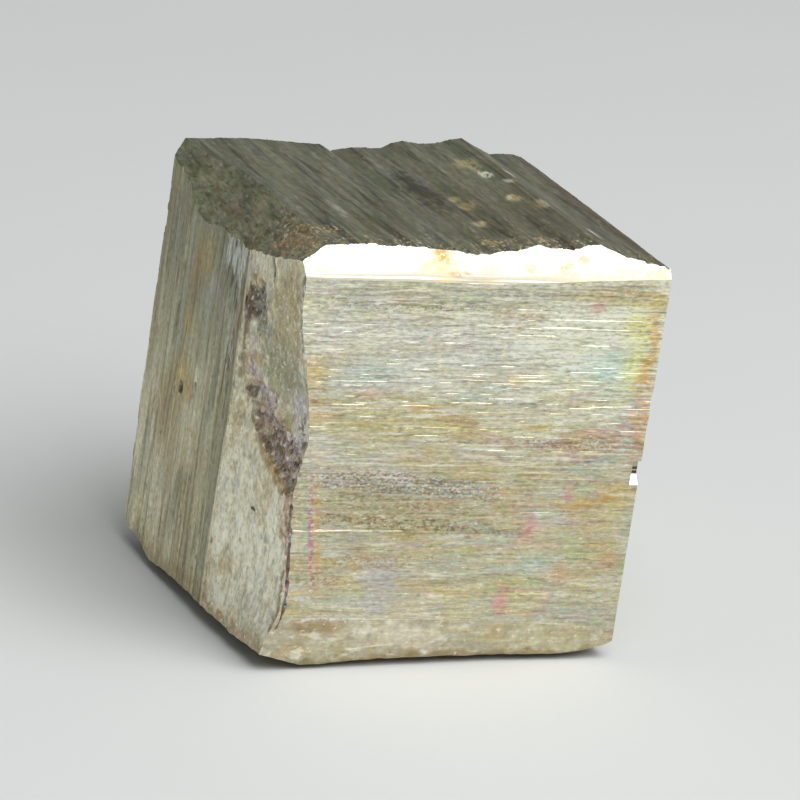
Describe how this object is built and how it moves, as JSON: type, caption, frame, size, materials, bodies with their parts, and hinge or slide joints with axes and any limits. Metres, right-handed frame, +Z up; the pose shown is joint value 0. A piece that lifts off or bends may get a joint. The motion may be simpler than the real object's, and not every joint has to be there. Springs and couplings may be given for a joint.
{
  "type": "pyrite crystal specimen",
  "caption": "Rough cubic pyrite crystal with striated faces, a bright bevel, a broken strip and oxide-filled hollows, standing on its chipped base.",
  "frame": {"origin": "middle of the crystal's bounding box, on the surface that it stands on", "axes": "+Z up from the base, -Y out of the beveled front face, +X to the right as that face is seen. The crystal leans 2.9 degrees towards +X."},
  "size_m": [0.0252, 0.0238, 0.0272],
  "materials": {
    "pyrite": "striated metallic, tarnished"
  },
  "bodies": {
    "root": {"pyrite_crystal": "pyrite"}
  },
  "joints": []
}
